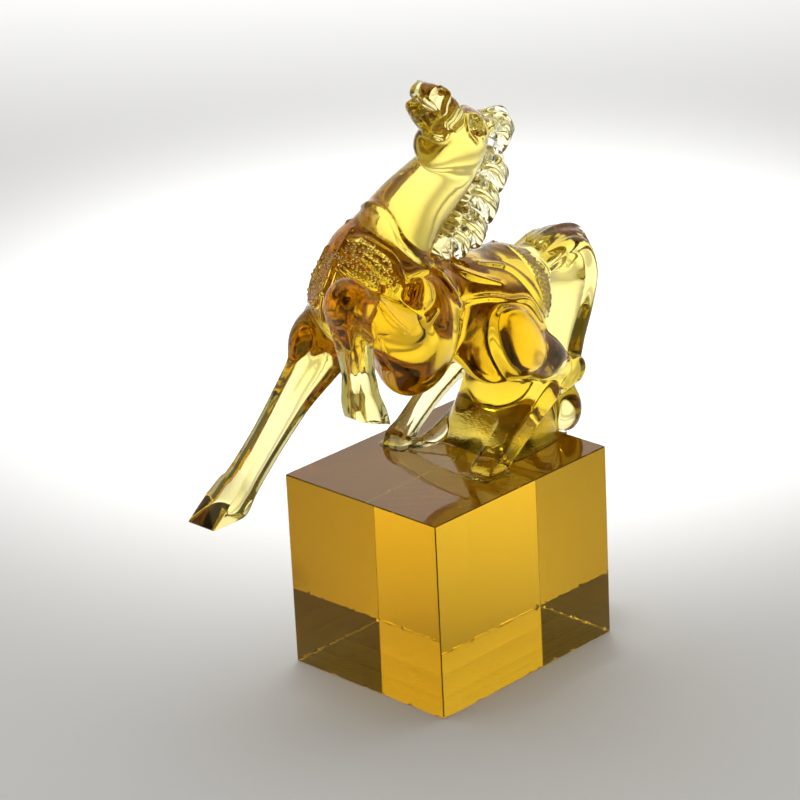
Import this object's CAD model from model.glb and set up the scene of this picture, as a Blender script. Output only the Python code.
import math

import bmesh
import bpy
import numpy as np
from mathutils import Euler, Matrix, Vector


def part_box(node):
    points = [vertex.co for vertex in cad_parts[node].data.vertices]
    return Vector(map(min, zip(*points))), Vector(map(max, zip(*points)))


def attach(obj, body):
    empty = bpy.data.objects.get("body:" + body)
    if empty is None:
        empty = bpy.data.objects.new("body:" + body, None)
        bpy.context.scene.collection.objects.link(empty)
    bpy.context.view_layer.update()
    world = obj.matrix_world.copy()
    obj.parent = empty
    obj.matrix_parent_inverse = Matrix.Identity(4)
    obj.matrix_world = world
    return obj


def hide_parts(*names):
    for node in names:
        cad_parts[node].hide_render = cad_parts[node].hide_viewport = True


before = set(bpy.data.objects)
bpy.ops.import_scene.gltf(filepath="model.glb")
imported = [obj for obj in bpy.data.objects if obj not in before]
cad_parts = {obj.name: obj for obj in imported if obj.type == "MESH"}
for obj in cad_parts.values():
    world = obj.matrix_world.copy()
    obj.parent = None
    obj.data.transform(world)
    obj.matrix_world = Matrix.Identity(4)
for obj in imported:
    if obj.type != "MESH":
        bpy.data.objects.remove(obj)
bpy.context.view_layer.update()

# The table and studio: the figurine stands on a plain pale table, among
# three round soft lamps and a softly glowing room, and is seen from above
# its left shoulder.
scene = bpy.context.scene
camera = bpy.data.objects.new("camera", bpy.data.cameras.new("camera"))
scene.collection.objects.link(camera)
camera.location = (0.84725, -0.86904, 0.6042)
camera.data.lens = 152.9
camera.data.sensor_width = 36.0
view_line = Vector((-0.65495, 0.65357, -0.37932))
aim = view_line.to_track_quat("-Z", "Y").to_matrix()
tilted = Matrix.Rotation(math.radians(-2.9), 3, "Z")
camera.rotation_euler = (aim @ tilted).to_euler()
scene.camera = camera
scene.view_settings.view_transform = "Standard"
scene.cycles.max_bounces = 32
scene.cycles.transmission_bounces = 32
scene.cycles.use_denoising = True

floor_mesh = bmesh.new()
bmesh.ops.create_grid(floor_mesh, x_segments=8, y_segments=8, size=10.0)
floor = bpy.data.objects.new("floor", bpy.data.meshes.new("floor"))
floor_mesh.to_mesh(floor.data)
floor_mesh.free()
scene.collection.objects.link(floor)
paper = bpy.data.materials.new("pale_paper")
paper.use_nodes = True
paper_shader = paper.node_tree.nodes["Principled BSDF"]
paper_shader.inputs["Base Color"].default_value = (0.86, 0.86, 0.85, 1.0)
paper_shader.inputs["Roughness"].default_value = 0.9
floor.data.materials.append(paper)

world = bpy.data.worlds.new("studio")
scene.world = world
world.use_nodes = True
tree = world.node_tree
sky = tree.nodes["Background"]
where = tree.nodes.new("ShaderNodeTexCoord")


def glow(direction, edge, core, level):
    """A soft patch of light in the room, brightest along direction."""
    facing = tree.nodes.new("ShaderNodeVectorMath")
    facing.operation = "DOT_PRODUCT"
    facing.inputs[1].default_value = Vector(direction).normalized()
    tree.links.new(where.outputs["Generated"], facing.inputs[0])
    spread = tree.nodes.new("ShaderNodeMapRange")
    spread.interpolation_type = "SMOOTHSTEP"
    spread.inputs["From Min"].default_value = edge
    spread.inputs["From Max"].default_value = core
    spread.inputs["To Max"].default_value = level
    tree.links.new(facing.outputs["Value"], spread.inputs["Value"])
    return spread.outputs["Result"]


def add(a, b):
    """The sum of two strengths of light."""
    total = tree.nodes.new("ShaderNodeMath")
    total.operation = "ADD"
    for socket, value in zip(total.inputs, (a, b)):
        if isinstance(value, float):
            socket.default_value = value
        else:
            tree.links.new(value, socket)
    return total.outputs["Value"]


room = add(glow((-0.45, 0.45, 0.77), 0.35, 0.80, 0.90), 0.09)
room = add(room, glow((-0.7, 0.7, 0.0), 0.75, 0.95, 0.20))
room = add(room, glow((0.0, 0.0, -1.0), -0.22, -0.04, 0.55))
tree.links.new(room, sky.inputs["Strength"])
sky.inputs["Color"].default_value = (1.0, 0.99, 0.97, 1.0)


def hang_lamp(name, place, target, width, power, size):
    """A round soft lamp that lights a pool of the given width at target."""
    lamp = bpy.data.objects.new(name, bpy.data.lights.new(name, "SPOT"))
    lamp.data.energy = power
    lamp.data.shadow_soft_size = size
    lamp.data.spot_blend = 1.0
    lamp.location = place
    turn = Vector(target) - Vector(place)
    lamp.data.spot_size = 2.0 * math.atan(width / 2.0 / turn.length)
    lamp.rotation_euler = turn.to_track_quat("-Z", "Y").to_euler()
    scene.collection.objects.link(lamp)


hang_lamp("table_lamp", (-0.24, 0.26, 1.1), (-0.24, 0.26, 0.0), 0.74, 60.0, 0.10)
hang_lamp("rear_lamp", (-1.3, 1.3, 1.6), (-1.3, 1.3, 0.0), 3.4, 140.0, 0.3)
hang_lamp("window", (-0.9, -1.5, 1.5), (0.0, 0.0, 0.1), 1.6, 8.0, 0.35)


# The plinth: a sawn and polished cuboid of amber crystal, about 80 mm wide,
# its arrises eased by hand; the lower ones were left a little chipped.  It
# rests on the table and carries the horse.
block_low, block_high = (np.array(corner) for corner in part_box("base_block"))


def glass_flaws():
    """Node group: the cords and hazy patches that glass has in its skin."""
    group = bpy.data.node_groups.new("glass_flaws", "ShaderNodeTree")
    for label in ("Grain", "Least Haze", "Most Haze"):
        group.interface.new_socket(label, in_out="INPUT", socket_type="NodeSocketFloat")
    for label in ("Haze", "Cords"):
        group.interface.new_socket(label, in_out="OUTPUT", socket_type="NodeSocketFloat")
    make, link = group.nodes.new, group.links.new
    given, done = make("NodeGroupInput"), make("NodeGroupOutput")
    place = make("ShaderNodeTexCoord")
    cords = make("ShaderNodeTexNoise")
    cords.inputs["Detail"].default_value = 2.0
    link(place.outputs["Object"], cords.inputs["Vector"])
    link(given.outputs["Grain"], cords.inputs["Scale"])
    haze = make("ShaderNodeMapRange")
    haze.inputs["From Min"].default_value = 0.60
    haze.inputs["From Max"].default_value = 0.80
    link(cords.outputs["Fac"], haze.inputs["Value"])
    link(given.outputs["Least Haze"], haze.inputs["To Min"])
    link(given.outputs["Most Haze"], haze.inputs["To Max"])
    link(haze.outputs["Result"], done.inputs["Haze"])
    link(cords.outputs["Fac"], done.inputs["Cords"])
    return group


flaws_recipe = glass_flaws()


def melt_glass(name, tint, density, ripple, grain, hazy):
    """Clear tinted glass; hazy gives its least and most surface haze."""
    glass = bpy.data.materials.new(name)
    glass.use_nodes = True
    tree = glass.node_tree
    shader = tree.nodes["Principled BSDF"]
    shader.inputs["Base Color"].default_value = (1.0, 1.0, 1.0, 1.0)
    shader.inputs["Metallic"].default_value = 0.0
    shader.inputs["IOR"].default_value = 1.52
    shader.inputs["Specular Tint"].default_value = (1.0, 0.75, 0.2, 1.0)
    shader.inputs["Transmission Weight"].default_value = 1.0
    flaws = tree.nodes.new("ShaderNodeGroup")
    flaws.node_tree = flaws_recipe
    flaws.inputs["Grain"].default_value = grain
    flaws.inputs["Least Haze"].default_value, flaws.inputs["Most Haze"].default_value = hazy
    tree.links.new(flaws.outputs["Haze"], shader.inputs["Roughness"])
    if ripple:
        relief = tree.nodes.new("ShaderNodeBump")
        relief.inputs["Strength"].default_value = ripple
        relief.inputs["Distance"].default_value = 0.001
        tree.links.new(flaws.outputs["Cords"], relief.inputs["Height"])
        tree.links.new(relief.outputs["Normal"], shader.inputs["Normal"])
    body = tree.nodes.new("ShaderNodeVolumeAbsorption")
    body.inputs["Color"].default_value = tint + (1.0,)
    body.inputs["Density"].default_value = density
    tree.links.new(body.outputs["Volume"], tree.nodes["Material Output"].inputs["Volume"])
    return glass


def saw_block(low, high, eased, chipped, seed):
    """A cuboid with eased arrises, the lower ones chipped at random."""
    chips = np.random.default_rng(seed)
    outline = []
    corners = [(low[0], low[1]), (high[0], low[1]), (high[0], high[1]), (low[0], high[1])]
    for (ax, ay), (bx, by) in zip(corners, corners[1:] + corners[:1]):
        run = np.array([bx - ax, by - ay])
        length = np.linalg.norm(run)
        for t in np.linspace(eased / length, 1.0 - eased / length, 56):
            outline.append((ax + run[0] * t, ay + run[1] * t))
    outline = np.array(outline)
    middle = (low[:2] + high[:2]) / 2.0
    half = (high[:2] - low[:2]) / 2.0
    count = len(outline)
    rough = np.abs(np.convolve(chips.normal(0, 1, count + 4), np.ones(5) / 3.0, "valid"))
    rough = chipped * (0.35 + rough + 1.8 * (chips.random(count) > 0.93))
    rings = []
    for height, inset in ((0.0, rough), (rough * 1.2, 0.0), (high[2] - low[2] - eased, 0.0),
                          (high[2] - low[2], eased)):
        pull = 1.0 - np.broadcast_to(inset, count)[:, None] / half
        spot = middle + (outline - middle) * pull
        rings.append([(x, y, low[2] + z) for (x, y), z in zip(spot, np.broadcast_to(height, count))])
    mesh = bmesh.new()
    loops = [[mesh.verts.new(co) for co in ring] for ring in rings]
    for lower, upper in zip(loops, loops[1:]):
        for i in range(count):
            j = (i + 1) % count
            mesh.faces.new((lower[i], lower[j], upper[j], upper[i]))
    mesh.faces.new(loops[0][::-1])
    mesh.faces.new(loops[-1])
    block = bpy.data.objects.new("crystal_plinth", bpy.data.meshes.new("crystal_plinth"))
    mesh.to_mesh(block.data)
    mesh.free()
    scene.collection.objects.link(block)
    return block


eased_edge = 0.00035
plinth_glass = melt_glass("plinth_glass", (0.93, 0.80, 0.02), 47.0, ripple=0.0, grain=60.0, hazy=(0.0, 0.02))
plinth = saw_block(block_low, block_high, eased_edge, chipped=eased_edge, seed=5)
plinth.data.materials.append(plinth_glass)
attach(plinth, "root")
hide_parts("base_block")

# The horse: one lost-wax casting in amber glass, with its mane, tail, dress
# and the tail foot that carries it.  The wax is pressed and rolled in clay
# fashion, in millimetres above the hind soles, head towards -Y.
# It is kept as a grid of distances to the skin, negative inside the wax.
GRAIN = 0.62
AIR = 20.0
wax_low = np.array((-44.0, -124.0, -3.0))
wax_high = np.array((46.0, 90.0, 167.0))
wax_size = np.ceil((wax_high - wax_low) / GRAIN).astype(int) + 1
wax_axes = [(wax_low[i] + GRAIN * np.arange(wax_size[i])).astype(np.float32) for i in range(3)]
wax = np.full(wax_size, AIR, np.float32)


def wax_near(low, high):
    """The part of the wax between two corners, with its coordinates."""
    first = np.clip(((low - wax_low) / GRAIN).astype(int), 0, wax_size - 1)
    last = np.clip(((high - wax_low) / GRAIN).astype(int) + 2, first + 1, wax_size)
    part = tuple(slice(a, b) for a, b in zip(first, last))
    return part, np.meshgrid(*[wax_axes[i][part[i]] for i in range(3)], indexing="ij", sparse=True)


def press_on(part, shape, soft, cut):
    """Joins a shape to the wax, or cuts it away, with a soft edge."""
    old = wax[part]
    new = -shape if cut else shape
    sign = -1.0 if cut else 1.0
    lean = np.clip(0.5 + 0.5 * sign * (new - old) / soft, 0.0, 1.0)
    wax[part] = new + (old - new) * lean - sign * soft * lean * (1.0 - lean)


def lump(centre, radii, soft=5.0, tip=0.0, cut=False):
    """An egg-shaped lump: radii across, along and up; tip lifts its front."""
    centre = np.array(centre, float)
    reach = max(radii) + 2.0 * soft + 1.0
    part, (x, y, z) = wax_near(centre - reach, centre + reach)
    turned = Euler((math.radians(-tip), 0.0, 0.0)).to_matrix()
    x, y, z = x - centre[0], y - centre[1], z - centre[2]
    inner = outer = 0.0
    for axis, radius in zip(turned.col, radii):
        along = (x * axis[0] + y * axis[1] + z * axis[2]) / radius
        inner = inner + along ** 2
        outer = outer + (along / radius) ** 2
    inner = np.sqrt(inner)
    shape = inner * (inner - 1.0) / np.sqrt(outer + 1e-9)
    press_on(part, shape.astype(np.float32), soft, cut)


def smooth_path(stations, steps=4):
    """Stations (x, y, z, radius, width ratio) joined by a smooth curve."""
    rows = np.array([tuple(s) + (1.0,) * (5 - len(s)) for s in stations], float)
    ends = np.vstack([2 * rows[0] - rows[1], rows, 2 * rows[-1] - rows[-2]])
    line = [rows[0]]
    for a, b, c, d in zip(ends, ends[1:], ends[2:], ends[3:]):
        for t in np.arange(1, steps + 1) / steps:
            line.append(0.5 * (2 * b + (c - a) * t + (2 * a - 5 * b + 4 * c - d) * t ** 2
                               + (3 * b - a - 3 * c + d) * t ** 3))
    return np.array(line)


def wax_depth(points):
    """How far points lie outside the wax (negative inside)."""
    place = (points - wax_low) / GRAIN
    cell = np.clip(place.astype(int), 0, wax_size - 2)
    frac = np.clip(place - cell, 0.0, 1.0)
    depth = 0.0
    for corner in np.ndindex(2, 2, 2):
        share = np.prod(np.where(corner, frac, 1.0 - frac), axis=1)
        depth = depth + share * wax[tuple((cell + corner).T)]
    return depth


def wax_slope(points):
    """The outward direction of the wax surface near points."""
    slope = np.empty_like(points)
    for i in range(3):
        step = np.zeros(3)
        step[i] = GRAIN
        slope[:, i] = wax_depth(points + step) - wax_depth(points - step)
    return slope / (np.linalg.norm(slope, axis=1, keepdims=True) + 1e-9)


def to_skin(points, proud=0.0, press=None):
    """Points slid to stand proud of the skin: down its slope, after being
    pushed in along the press direction from a little way outside."""
    start, reach = 14.0, 24.0
    if press is not None:
        points = points - start * np.array(press)
        travel = np.zeros((len(points), 1))
        for _ in range(30):
            step = np.clip(wax_depth(points) - proud, -1.0, 4.0)[:, None]
            step = np.minimum(step, reach - travel)
            points = points + np.array(press) * step
            travel += step
    for _ in range(12):
        step = np.clip(wax_depth(points) - proud, -1.5, 1.5)
        points = points - wax_slope(points) * step[:, None]
    return points


def roll(stations, soft=3.0, square=2.0, cut=False, steps=4, skin=None, press=None):
    """A rolled strand; square above 2 flattens it towards a square bar.
    With skin it is laid on the surface, its centre that much proud."""
    line = smooth_path(stations, steps)
    if skin is not None:
        line[:, :3] = to_skin(line[:, :3], skin, press)
    reach = (line[:, 3] * np.maximum(line[:, 4], 1.0)).max() * 1.25 + 2.0 * soft + 1.0
    part, (x, y, z) = wax_near(line[:, :3].min(0) - reach, line[:, :3].max(0) + reach)
    shape = None
    for a, b in zip(line, line[1:]):
        run = b[:3] - a[:3]
        length = math.sqrt(run @ run) + 1e-6
        t = ((x - a[0]) * run[0] + (y - a[1]) * run[1] + (z - a[2]) * run[2]) / length ** 2
        taper = min(max((a[3] - b[3]) / length, -0.9), 0.9)
        away = (x - a[0] - t * run[0]) ** 2 + (y - a[1] - t * run[1]) ** 2 + (z - a[2] - t * run[2]) ** 2
        t = np.clip(t - np.sqrt(away) * taper / math.sqrt(1.0 - taper ** 2) / length, 0.0, 1.0)
        dx, dy, dz = x - a[0] - t * run[0], y - a[1] - t * run[1], z - a[2] - t * run[2]
        rest = np.sqrt(dy * dy + dz * dz)
        wide = a[4] + (b[4] - a[4]) * t
        size = (rest ** square + np.abs(dx / wide) ** square) ** (1.0 / square)
        step = (size - a[3] - (b[3] - a[3]) * t) * np.minimum(wide, 1.0)
        shape = step if shape is None else np.minimum(shape, step)
    press_on(part, shape.astype(np.float32), soft, cut)


def grind(point, outward, low, high):
    """Grinds a flat facet through point, on the wax between two corners."""
    outward = np.array(outward, float) / np.linalg.norm(outward)
    part, (x, y, z) = wax_near(np.array(low, float), np.array(high, float))
    facet = (x - point[0]) * outward[0] + (y - point[1]) * outward[1] + (z - point[2]) * outward[2]
    wax[part] = np.maximum(wax[part], facet.astype(np.float32))


def strands(stations, offsets, size, soft=0.8, wave=0.0):
    """A lock of hair: thin strands side by side along one path."""
    for k, (dx, dy, dz) in enumerate(offsets):
        path = []
        for i, (x, y, z, r) in enumerate(stations):
            sway = wave * r * math.sin(1.7 * i + 2.4 * k)
            path.append((x + dx * r + sway, y + dy * r + 0.5 * sway, z + dz * r + 0.7 * sway, r * size))
        roll(path, soft)


# The thumb that lays the relief on the left side presses in from the front.
from_left = np.array((-0.655, 0.654, -0.379))

# Trunk: round rump, narrow waist, and the deep chest under its drape.
lump((0, 31, 57), (20, 23, 23), 6, tip=-8)
lump((0, 8, 63), (20.5, 26, 20.5), 7, tip=14)
lump((0, -18, 70), (19, 20, 23), 7, tip=18)
lump((0, -37, 83), (20.5, 18, 23), 6, tip=15)
lump((1, -39.5, 94), (16, 12.5, 16.5), 5, tip=15)
lump((-5, -43, 80), (14, 13, 16), 4, tip=15)
lump((16, -30, 67), (15.5, 18, 24.5), 7, tip=14)
lump((-15, -32, 66), (13, 18, 22), 7, tip=14)
for side, thick in ((1, 1.0), (-1, 0.6)):
    press = from_left if side > 0 else None
    roll([(side * 18, -22, 90, 0.8), (side * 24, -20, 84, 1.7 * thick), (side * 27, -17, 74, 2.4 * thick),
          (side * 27, -15, 59, 2.4 * thick), (side * 25, -16, 48, 1.8 * thick), (side * 20, -22, 42, 0.8)],
         2.5, skin=-0.4, press=press)

# Haunches, each a wide thigh with a dome of muscle under a thin ring.
for side, thick in ((1, 1.0), (-1, 0.6)):
    press = from_left if side > 0 else None
    lump((side * 14.5, 17, 52), (12.5, 20.5, 20.5), 7, tip=10)
    lump((side * (23.0 - 3 * (1 - thick)), 15.5, 51), (8.5 - 4 * (1 - thick), 12, 17),
         1.6 / thick ** 2, tip=-30)
    roll([(side * 29, -19, 69, 0.5), (side * 29, -15.4, 75.1, 0.9 * thick),
          (side * 29, -11.5, 77.1, 1.1 * thick), (side * 29, -2.1, 76.2, 1.1 * thick),
          (side * 28, 9.3, 70.5, 1.1 * thick), (side * 26, 23, 65.5, 1.0 * thick),
          (side * 24, 33, 51.6, 0.5)], 1.2, skin=-0.1, press=press)

# Hind legs: flattened gaskin, hock, square cannon and flat-soled hoof.
hind_legs = [
    (17.5, [(17.5, 52, 27, 6), (18, 40, 23.5, 5.4), (18.3, 30, 17.8, 5.0, 1.1), (18.7, 19, 10.8, 4.6, 1.2),
            (19.5, 9, 5, 4.3, 1.3), (20.2, 3, 2, 4.7, 1.25), (20.5, 1, -3, 5, 1.2)]),
    (-20.0, [(-20, 47, 33, 5.8), (-20.5, 33, 28.5, 4.8), (-21.5, 21, 22, 4.2), (-22.5, 11, 14.5, 3.9),
             (-23.5, 3, 7.5, 3.9), (-24.6, -0.8, 3, 4.6), (-25, 0, -3, 5.4)]),
]
for hock_x, cannon in hind_legs:
    side = math.copysign(1, hock_x)
    height = cannon[0][2]
    roll([(side * 17, 20, 46, 13), (side * 18, 36, 37 + 0.6 * (height - 27), 9.5),
          (hock_x, 46, height + 2, 6.5), (hock_x, 52, height - 1, 5.5)], 3)
    lump((hock_x, 52, height - 0.5), (5.5, 5.5, 6), 2, tip=35)
    roll(cannon, 1.0, square=7)

# Tail: a fan of strands off the croup, falling behind and curling under
# the rump into the foot that stands on the block.
tail = [(0, 38, 62, 10), (0, 50, 66, 9), (0, 62, 68.5, 9.5), (0, 71, 65, 10), (0, 74, 54, 10.5),
        (0, 71, 42, 10.5), (0.5, 64, 30, 11), (1, 57, 18, 12), (1, 46, 8, 13), (0, 34, 3, 14)]
roll([s[:3] + (s[3] * 0.82, 1.25) for s in tail], 3)
strands(tail, [(0.85, 0.25, 0.35), (0.45, 0.5, 0.5), (0, 0.6, 0.6), (-0.45, 0.5, 0.5),
               (-0.85, 0.25, 0.35)], 0.34)
roll([(3, 66, 68, 4), (4, 76, 66, 3.5), (5, 79, 58, 2.5), (6, 78, 52, 1)], 1)
roll([(-2, 68, 69, 4), (-1, 80, 68, 3), (0, 84, 62, 2.2), (1, 84, 55, 1)], 1)
for off in (-2.4, 0, 2.4):
    roll([(off, 54, 75, 1.2), (off, 66, 76 - abs(off) / 3, 1.7), (off, 76, 75 - abs(off), 1.5),
          (off, 82 - abs(off), 72, 1.0), (off, 85 - abs(off), 69, 0.6)], 0.8)
roll([(1, 83, 68, 1.4), (1, 83.5, 57, 2.2), (1, 83, 49, 2.0), (1, 80, 42, 1.0)], 1.2)
roll([(-1, 77, 46, 1.2), (-1, 72.5, 36, 2.0), (-1, 66, 27, 1.0)], 1.2)
lump((13, 53, 9), (9, 7.5, 11), 3)
lump((-12, 52, 9), (9, 7, 10), 3)

# The foot under the rump: a wave of glass hollowed in front.
roll([(0, 28, 52, 12), (1, 34, 36, 11.5, 1.1), (1, 33, 18, 14, 1.15), (1, 31, 3, 18.5, 1.02),
      (1, 31, -4, 19, 1.02)], 3, square=3)
for side in (1, -1):
    roll([(side * 15, 26, 8, 4), (side * 16, 12, 3, 3), (side * 18, 3, 0, 2.5), (side * 19, 1, -4, 2.5)], 1.5,
         square=3)
lump((-1, 0, 7), (16, 11.5, 15), 2, cut=True)

# Lead foreleg: square in section, with a wedge hoof ground flat beneath.
lump((-18, -50, 62), (8.5, 10, 13), 4, tip=30)
roll([(-15, -40, 66, 11), (-15, -54, 53.5, 8), (-14.5, -66, 44.5, 6.4), (-14.5, -80, 32, 5.6),
      (-14.5, -94, 20, 5.8), (-14.5, -101, 15, 7)], 1.5, square=4.5, steps=8)
roll([(-15, -99, 17, 6), (-15, -107, 11, 7), (-15, -112, 5, 7)], 1, square=7)
grind((-15, -115.6, 8.8), (0, 0, -1), (-40, -124, -3), (5, -85, 30))
grind((-15, -115.8, 9.2), (0, -0.626, 0.78), (-40, -124, -3), (5, -96, 60))

# Neck: leans back and over to the left, out of a raised collar.
roll([(3, -36, 90, 17), (6, -30.5, 101, 15.8), (9.5, -22.5, 112, 13.6), (15, -13.5, 122, 11.8),
      (20, -9, 131, 10.5), (22, -9, 137, 10)], 3)
roll([(-14, -32, 104, 0.8), (-9, -37, 111, 1.1), (-4, -36, 114, 1.3), (2, -32, 114, 1.3), (10, -33, 110, 1.3),
      (16, -34, 103, 1.3), (22, -27, 93, 1.3), (23, -20, 88, 0.8)], 1.2, skin=-0.1, press=from_left)

# Head: round cheek, nose bridge, squared upper lip over an open lower jaw,
# nostrils, and a ringed eye.
lump((23.5, -11.5, 138.5), (10.5, 12.5, 12.5), 3, tip=25)
lump((21, -19.5, 138), (8.5, 8, 9), 2.5)
roll([(22, -2, 140, 7), (24, -12.5, 145, 7.2), (25.2, -19, 151, 6.3), (25.5, -24, 156.5, 5.4)], 3)
roll([(25.2, -20, 153, 5), (25, -24.5, 157, 4.8, 1.15), (24.8, -27, 160, 4.4, 1.25)], 1.2, square=5)
roll([(24, -13, 140, 6.5), (25, -23, 147, 5), (25, -29, 152.5, 4, 1.1), (24.5, -32.5, 156.8, 2.9, 1.3)],
     1.5, square=3)
for across in (-8, -4, 0, 4, 8):
    roll([(25 + across, -36, 162.5, 2), (25 + across, -30, 157.6, 1.3), (25 + across, -24, 152.8, 0.7)],
         0.5, cut=True)
for side in (1, -1):
    roll([(25 + side * 6.5, -25, 164, 0.8), (25 + side * 6.5, -22, 163, 1), (25 + side * 6.5, -21, 160, 1.1),
          (25 + side * 6.5, -24, 157, 0.9), (25 + side * 6.5, -24.5, 153.5, 0.7)], 0.7, skin=0.3)
    nostril = to_skin(np.array([(25 + side * 6.0, -25.5, 161.5)]))[0]
    lump(nostril, (1.6, 1.4, 1.1), 0.6, cut=True)
    eye = to_skin(np.array([(23 + side * 10.0, -8.5, 145.6)]), -0.4)[0]
    lump(eye, (2.6, 3.6, 4.0), 0.6, cut=True)
    lump(to_skin(np.array([eye]), -1.0)[0], (1.9, 2.0, 2.2), 0.3)
    for size, thick, carved in ((3.9, 0.9, False), (5.4, 0.7, True), (6.4, 0.6, False)):
        lid = [(eye[0], eye[1] + size * math.cos(a) * 0.85, eye[2] + size * math.sin(a) * 1.1, thick)
               for a in np.linspace(-0.9, 4.2, 11)]
        roll(lid, 0.4, skin=0.2, cut=carved)
    roll([(22 + side * 6, -1, 141, 3.2), (20 + side * 7, 5, 140, 2.8, 0.7), (18 + side * 7, 11, 137, 1)], 1.5)

# Mane: tufts off the crest, each a few thick wet locks that hook over.
tufts = [
    [(20, 0, 139, 3.5), (18.5, 10, 138.5, 4.5), (18, 17.5, 136, 4.8), (18, 20.5, 130, 3.6),
     (18, 17.5, 126, 2)],
    [(18, 3, 127, 3.6), (17, 11, 123, 4.8), (16, 17, 117.5, 4.6), (16, 19.5, 112.5, 3.2),
     (16, 17, 109.5, 1.6)],
    [(15, 1, 118, 4), (14, 8, 113, 5.2), (13, 15, 106.5, 5.2), (13, 16, 100.5, 3.6), (12, 13, 98, 2)],
    [(11, -4, 108, 4), (10, 4, 101.5, 5.2), (9, 11, 95.5, 5.2), (9, 13.5, 90.5, 3.6), (8, 11, 88, 2)],
    [(9, -6, 103, 4), (8, 1, 97, 5), (7, 6, 92, 4.6), (7, 7.5, 87.5, 3.2), (6, 5, 85, 1.8)],
    [(8, -11, 99, 3.6), (6, -7, 94, 4.6), (6, -3, 89.5, 4.4), (5, -4, 86, 2.8), (5, -7, 85, 1.8)],
]
roll([(20, 0, 137, 4), (16, 2, 123, 5), (12, -1, 110, 5), (9, -6, 99, 5), (6, -12, 91, 4.5)], 2)
for tuft in tufts:
    roll([s[:3] + (s[3] * 0.62,) for s in tuft], 1.2)
    strands(tuft, [(0.95, 0, 0.2), (0.6, 0.2, 0.7), (0, 0.3, 0.85), (-0.6, 0.2, 0.7), (-0.95, 0, 0.2),
                   (0.7, -0.3, -0.5), (0, -0.3, -0.75), (-0.7, -0.3, -0.5)], 0.33, 0.5, wave=0.22)

# Cast-on dress: rims of the beaded breast panels, strap, leaf tassels,
# rosette, and the oval boss on the shoulder with a crescent under it.
roll([(0, -44, 108, 1.0), (2, -53, 102, 1.4), (2, -59, 93, 1.6), (2, -63, 85, 1.6), (0, -62, 78, 1)],
     1, skin=0.2, press=from_left)
panel_rims = [
    [(4, -49, 107, 1), (8, -42, 104, 1.2), (14, -38, 96, 1.2), (20, -43, 90, 1.2), (22, -52, 89, 1.2),
     (20, -61, 95, 1.2), (10, -61, 99, 1.2), (5, -58, 103, 1)],
    [(-3, -55, 104, 1), (-8, -60, 98, 1.2), (-12, -59, 86, 1.2), (-12, -55, 79, 1.2), (-4, -57, 87, 1.2),
     (0, -53, 100, 1)],
]
for rim in panel_rims:
    roll(rim, 0.8, skin=0.2, press=from_left)
roll([(14, -53, 111, 0.8), (16, -48, 106, 1.7), (20, -44, 101, 2), (22, -42, 94, 1.7), (22, -38, 88, 0.8)],
     0.6, skin=0.3, press=from_left)
roll([(12, -50, 104, 0.7), (16, -45, 99, 1.5), (20, -42, 92, 0.7)], 0.6, skin=0.3, press=from_left)
roll([(10, -50, 100, 0.7), (14, -48, 95, 1.4), (19, -47, 89, 0.7)], 0.6, skin=0.3, press=from_left)


def bead_ground(outline, middle, press=None, rings=6):
    """The skin inside an outline, to carry the beads: points and faces."""
    rim = smooth_path([tuple(p) + (1.0,) for p in outline + outline[:1]], 5)[:-1, :3]
    points = [np.array(middle, float)]
    for k in range(1, rings + 1):
        points.extend(np.array(middle) + (rim - middle) * (0.93 * k / rings))
    points = to_skin(np.array(points, float), 0.0, press)
    count = len(rim)
    faces = [(0, 1 + i, 1 + (i + 1) % count) for i in range(count)]
    for k in range(rings - 1):
        a, b = 1 + k * count, 1 + (k + 1) * count
        faces += [(a + i, b + i, b + (i + 1) % count, a + (i + 1) % count) for i in range(count)]
    return points, faces


# The bead grounds are taken off the breast before the forearm covers it.
bead_grounds = {
    "breast_beads_left": bead_ground([s[:3] for s in panel_rims[0]], (13, -50, 97), from_left),
    "breast_beads_right": bead_ground([s[:3] for s in panel_rims[1]], (-6, -58, 92), from_left),
}
rosette = to_skin(np.array([(20.0, -48.0, 90.0)]), 0.0, from_left)[0]
lump(rosette, (2.4, 2.4, 2.4), 0.6)
for side in (1, -1):
    press = from_left if side > 0 else None
    boss = to_skin(np.array([(side * 24.0, -35.0, 84.0)]), -0.8 if side > 0 else -2.2, press)[0]
    lump(boss, (4.6, 6.4, 7.6), 0.8, tip=10)
    roll([(side * 20, -45, 86, 0.7), (side * 23, -44, 82, 1.0), (side * 25, -41, 77, 1.3),
          (side * 25, -33, 73.5, 1.3), (side * 23, -25, 75, 0.7)], 0.8, skin=0.2, press=press)

# Folded foreleg: broad forearm, round knee, flattened cannon, small hoof.
roll([(18, -36, 64, 14), (21, -50, 76, 10.5), (22, -62, 86, 8.5), (22, -69, 91, 7)], 2.5)
lump((22, -69.5, 91.5), (8.6, 8.6, 9.6), 2)
roll([(24, -60, 90, 0.8), (24, -56, 88, 1.4), (24, -50, 80, 1.4), (24, -42, 72, 0.8)],
     1, skin=0.2, press=from_left)
roll([(22, -69.5, 89, 7.2), (22, -68, 78, 6.0), (22, -66.5, 66, 5.1), (22, -66, 57, 5.2)],
     1.2, square=5)
roll([(22, -66, 59, 5.0), (22, -65.5, 52, 5.8), (22, -63.5, 46, 6.2), (22, -62, 40, 6.2)], 0.8, square=7)
grind((22, -71.7, 46.8), (0, -0.35, -0.937), (10, -80, 30), (34, -50, 56))

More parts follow.
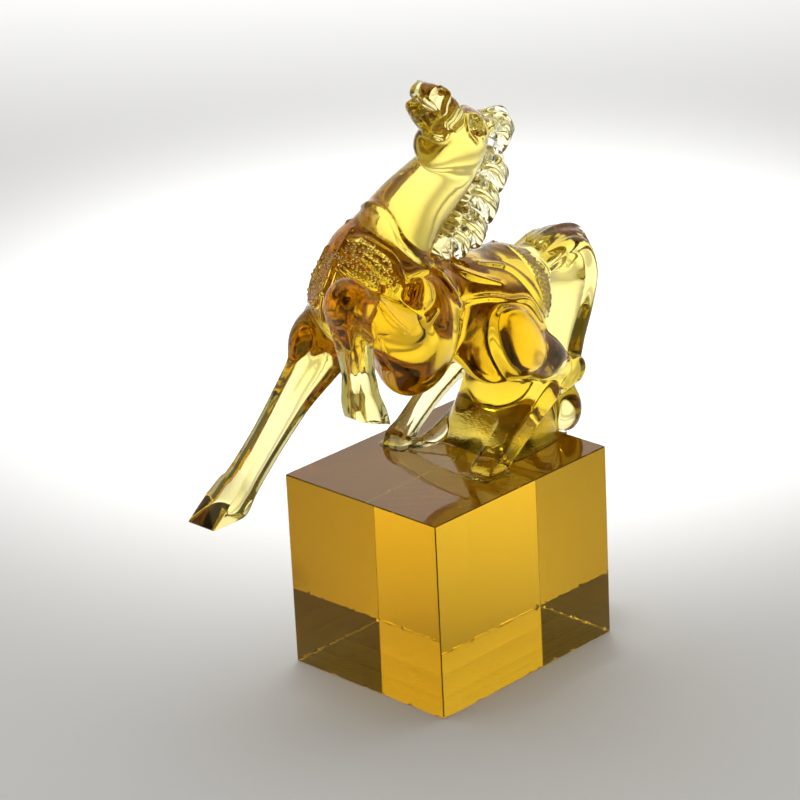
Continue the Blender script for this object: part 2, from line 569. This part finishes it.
# Crupper band edges on the rump, and the tassel that lies along the flank.
for side, thick in ((1, 1.0), (-1, 0.6)):
    press = from_left if side > 0 else None
    roll([(side * 4, 45, 75, 0.7), (side * 10, 47, 70, 1.1 * thick), (side * 15, 48, 64, 1.1 * thick),
          (side * 19, 47, 57, 1.1 * thick), (side * 20, 44, 49, 0.6)], 0.8, skin=0.1, press=press)
    roll([(side * 4, 36, 79, 0.7), (side * 10, 38, 74, 1.0 * thick), (side * 16, 39, 65, 1.0 * thick),
          (side * 20, 38, 57, 0.6)], 0.8, skin=0.1, press=press)
    roll([(side * 4, 18, 77, 0.6), (side * 8, 29, 73, 1.2 * thick), (side * 14, 34, 66, 1.3 * thick),
          (side * 20, 38, 55, 0.7)], 1.5, skin=-0.1, press=press)
    roll([(side * 7, -14, 88, 0.7), (side * 10, -9, 87, 1.2 * thick), (side * 14, 3, 79, 1.4 * thick),
          (side * 18, 15, 73, 0.7)], 1.8, skin=-0.3, press=press)

for side, name in ((1, "crupper_beads_left"), (-1, "crupper_beads_right")):
    band = [(4, 36, 79), (10, 38, 74), (16, 39, 65), (20, 38, 57), (20, 44, 49), (19, 47, 57), (15, 48, 64),
            (10, 47, 70), (4, 45, 75)]
    bead_grounds[name] = bead_ground([(side * x, y, z) for x, y, z in band], (side * 13, 43, 69),
                                     from_left if side > 0 else None)

# The soles are ground flat.
grind((0, 0, 0), (0, 0, -1), wax_low, (46, 90, 40))

# The glass cast from that wax: its skin is drawn round the wax, fire
# polished smooth, and sunk a hair into the adhesive on the plinth.
sunk = 0.35
foot_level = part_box("horse_casting")[0].z * 1000.0 - sunk


def draw_skin():
    """Closed quad skin of the wax, as points in millimetres and faces."""
    inside = wax < 0
    wide, long, high = (size - 1 for size in inside.shape)
    counts = sum(inside[i:wide + i, j:long + j, k:high + k].astype(np.int8)
                 for i, j, k in np.ndindex(2, 2, 2))
    cells = np.argwhere((counts > 0) & (counts < 8))
    number = np.full(counts.shape, -1, np.int32)
    number[tuple(cells.T)] = np.arange(len(cells))
    corner = {o: wax[tuple((cells + o).T)] for o in np.ndindex(2, 2, 2)}
    total = np.zeros((len(cells), 3))
    crossings = np.zeros(len(cells))
    for o in corner:
        for axis in range(3):
            if o[axis]:
                continue
            other = o[:axis] + (1,) + o[axis + 1:]
            a, b = corner[o], corner[other]
            hit = (a < 0) != (b < 0)
            spot = np.tile(np.array(o, float), (len(cells), 1))
            spot[:, axis] = np.where(hit, a / np.where(hit, a - b, 1.0), 0.0)
            total[hit] += spot[hit]
            crossings[hit] += 1
    points = (cells + total / crossings[:, None]) * GRAIN + wax_low
    faces = []
    for axis in range(3):
        b, c = (axis + 1) % 3, (axis + 2) % 3
        near, far = [slice(1, -1)] * 3, [slice(1, -1)] * 3
        near[axis], far[axis] = slice(0, -1), slice(1, None)
        near, far = inside[tuple(near)], inside[tuple(far)]
        edge = np.argwhere(near != far)
        outward = near[tuple(edge.T)]
        edge[:, b] += 1
        edge[:, c] += 1
        ring = []
        for back_b, back_c in ((1, 1), (0, 1), (0, 0), (1, 0)):
            cell = edge.copy()
            cell[:, b] -= back_b
            cell[:, c] -= back_c
            ring.append(number[tuple(cell.T)])
        ring = np.stack(ring, 1)
        ring[~outward] = ring[~outward][:, ::-1]
        faces.append(ring)
    return points, np.concatenate(faces)


finest_skin = 93000.0
skin_points, skin_faces = draw_skin()
skin_mesh = bpy.data.meshes.new("glass_horse")
skin_mesh.from_pydata((skin_points * 0.001).tolist(), [], skin_faces.tolist())
horse = bpy.data.objects.new("glass_horse", skin_mesh)
scene.collection.objects.link(horse)
thin = horse.modifiers.new("thin", "DECIMATE")
thin.ratio = min(1.0, finest_skin / len(skin_faces))
bpy.context.view_layer.update()
skin_mesh = bpy.data.meshes.new_from_object(horse.evaluated_get(bpy.context.evaluated_depsgraph_get()))
horse.modifiers.clear()
horse.data = skin_mesh

# The thinning folds the smallest crumbs of glass flat; they are brushed off.
crumbs = bmesh.new()
crumbs.from_mesh(skin_mesh)
folded = [corner for corner in crumbs.verts if len(corner.link_faces) < 3
          and all(len(edge.other_vert(corner).link_faces) < 3 for edge in corner.link_edges)]
bmesh.ops.delete(crumbs, geom=folded, context="VERTS")
crumbs.to_mesh(skin_mesh)
crumbs.free()
count = len(skin_mesh.vertices)
points = np.empty(count * 3)
skin_mesh.vertices.foreach_get("co", points)
points = points.reshape(-1, 3) * 1000.0
for _ in range(2):
    nudge = wax_slope(points) * wax_depth(points)[:, None]
    points -= np.clip(nudge, -0.3, 0.3)
facing = wax_slope(points)
points[:, 2] += foot_level
skin_mesh.vertices.foreach_set("co", (points * 0.001).ravel())
skin_mesh.shade_smooth()
skin_mesh.normals_split_custom_set_from_vertices(facing.tolist())

cast_glass = melt_glass("cast_glass", (0.952, 0.86, 0.2), 90.0, ripple=0.03, grain=90.0, hazy=(0.07, 0.16))
horse.data.materials.clear()
horse.data.materials.append(cast_glass)
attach(horse, "root")
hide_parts("horse_casting")

# Bead work of the dress: grains the size of millet, cast thick inside the
# two breast panels and down the crupper band, half sunk in the glass.


def bead_recipe():
    """Node recipe: scatter a patch with beads, then make them real glass."""
    recipe = bpy.data.node_groups.new("sow_beads", "GeometryNodeTree")
    sockets = recipe.interface
    sockets.new_socket("Geometry", in_out="INPUT", socket_type="NodeSocketGeometry")
    for label, value in (("Bead Size", 0.00075), ("Spacing", 0.00125)):
        sockets.new_socket(label, in_out="INPUT", socket_type="NodeSocketFloat").default_value = value
    sockets.new_socket("Glass", in_out="INPUT", socket_type="NodeSocketMaterial")
    sockets.new_socket("Geometry", in_out="OUTPUT", socket_type="NodeSocketGeometry")
    make, link = recipe.nodes.new, recipe.links.new
    given, done = make("NodeGroupInput"), make("NodeGroupOutput")
    sow = make("GeometryNodeDistributePointsOnFaces")
    sow.distribute_method = "POISSON"
    sow.inputs["Density Max"].default_value = 900000.0
    sow.inputs["Seed"].default_value = 11
    link(given.outputs["Geometry"], sow.inputs["Mesh"])
    link(given.outputs["Spacing"], sow.inputs["Distance Min"])
    bead = make("GeometryNodeMeshIcoSphere")
    bead.inputs["Subdivisions"].default_value = 2
    link(given.outputs["Bead Size"], bead.inputs["Radius"])
    smooth = make("GeometryNodeSetShadeSmooth")
    link(bead.outputs["Mesh"], smooth.inputs["Geometry"])
    vary = make("FunctionNodeRandomValue")
    vary.data_type = "FLOAT"
    vary.inputs[2].default_value = 0.7
    vary.inputs[3].default_value = 1.1
    vary.inputs["Seed"].default_value = 4
    lay = make("GeometryNodeInstanceOnPoints")
    link(sow.outputs["Points"], lay.inputs["Points"])
    link(smooth.outputs["Geometry"], lay.inputs["Instance"])
    link(vary.outputs[1], lay.inputs["Scale"])
    real = make("GeometryNodeRealizeInstances")
    link(lay.outputs["Instances"], real.inputs["Geometry"])
    finish = make("GeometryNodeSetMaterial")
    link(real.outputs["Geometry"], finish.inputs["Geometry"])
    link(given.outputs["Glass"], finish.inputs["Material"])
    link(finish.outputs["Geometry"], done.inputs["Geometry"])
    return recipe


sow_beads = bead_recipe()
for name, (points, faces) in bead_grounds.items():
    buried = wax_depth(points) < -1.2
    faces = [face for face in faces if not buried[list(face)].any()]
    points[:, 2] += foot_level
    mesh = bpy.data.meshes.new(name)
    mesh.from_pydata((points * 0.001).tolist(), [], faces)
    beads = bpy.data.objects.new(name, mesh)
    scene.collection.objects.link(beads)
    work = beads.modifiers.new("beads", "NODES")
    work.node_group = sow_beads
    for item in sow_beads.interface.items_tree:
        if item.name == "Glass":
            work[item.identifier] = cast_glass
    bpy.context.view_layer.update()
    done = bpy.data.meshes.new_from_object(beads.evaluated_get(bpy.context.evaluated_depsgraph_get()))
    beads.modifiers.clear()
    beads.data = done
    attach(beads, "root")

# Clear adhesive under the two hind hooves and the tail foot: each bond is a
# thin film whose squeezed-out rim has set as a low rounded bead.
clear_adhesive = melt_glass("clear_adhesive", (0.9, 0.9, 0.9), 1.0, ripple=0.15, grain=700.0,
                            hazy=(0.0, 0.02))


def pour_adhesive(node, outline, height, seed):
    """A film under one sole with its rim set as a low rounded bead."""
    wander = np.random.default_rng(seed)
    rim = smooth_path([tuple(p) + (0.0, 1.0) for p in outline + outline[:1]], 8)[:-1, :2]
    middle = rim.mean(0)
    wobble = np.convolve(np.tile(wander.normal(0, 1, len(rim)), 3), np.ones(5) / 5.0, "same")
    wobble = wobble[len(rim):2 * len(rim)]
    away = rim - middle
    away /= np.linalg.norm(away, axis=1, keepdims=True)
    top = block_high[2] * 1000.0
    rings = []
    for out, up in ((0.0, -0.02), (0.25, 0.10), (0.15, 0.35), (-0.35, 0.75), (-1.0, 1.0)):
        spread = rim + away * (out + 0.25 * wobble[:, None])
        rings.append([(x * 0.001, y * 0.001, (top + up * height) * 0.001) for x, y in spread])
    mesh = bmesh.new()
    loops = [[mesh.verts.new(co) for co in ring] for ring in rings]
    count = len(rim)
    for lower, upper in zip(loops, loops[1:]):
        for i in range(count):
            j = (i + 1) % count
            mesh.faces.new((lower[i], lower[j], upper[j], upper[i]))
    mesh.faces.new(loops[0][::-1])
    mesh.faces.new(loops[-1])
    bmesh.ops.recalc_face_normals(mesh, faces=mesh.faces)
    pool = bpy.data.objects.new(node + "_pool", bpy.data.meshes.new(node + "_pool"))
    mesh.to_mesh(pool.data)
    mesh.free()
    pool.data.shade_smooth()
    pool.data.materials.append(clear_adhesive)
    scene.collection.objects.link(pool)
    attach(pool, "root")
    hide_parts(node)


pour_adhesive("bond_left_hoof", [(13.5, -7), (20, -8.5), (27.5, -7), (28.5, -1), (28, 6), (21, 8), (14, 6.5),
                                 (12.5, 0)], 0.5, 21)
pour_adhesive("bond_right_hoof", [(-19, -5), (-25, -6), (-32, -4.5), (-32.8, 0), (-32, 6), (-26, 8), (-19, 7),
                                  (-18, 1)], 0.5, 22)
pour_adhesive("bond_tail_foot", [(-17, 10.5), (-8, 12), (0, 12.2), (10, 11.5), (17, 9.5), (22.5, 15),
                                 (23, 30), (20, 48), (8, 53), (-8, 53), (-19, 48), (-22, 30), (-21, 16)],
              0.4, 23)
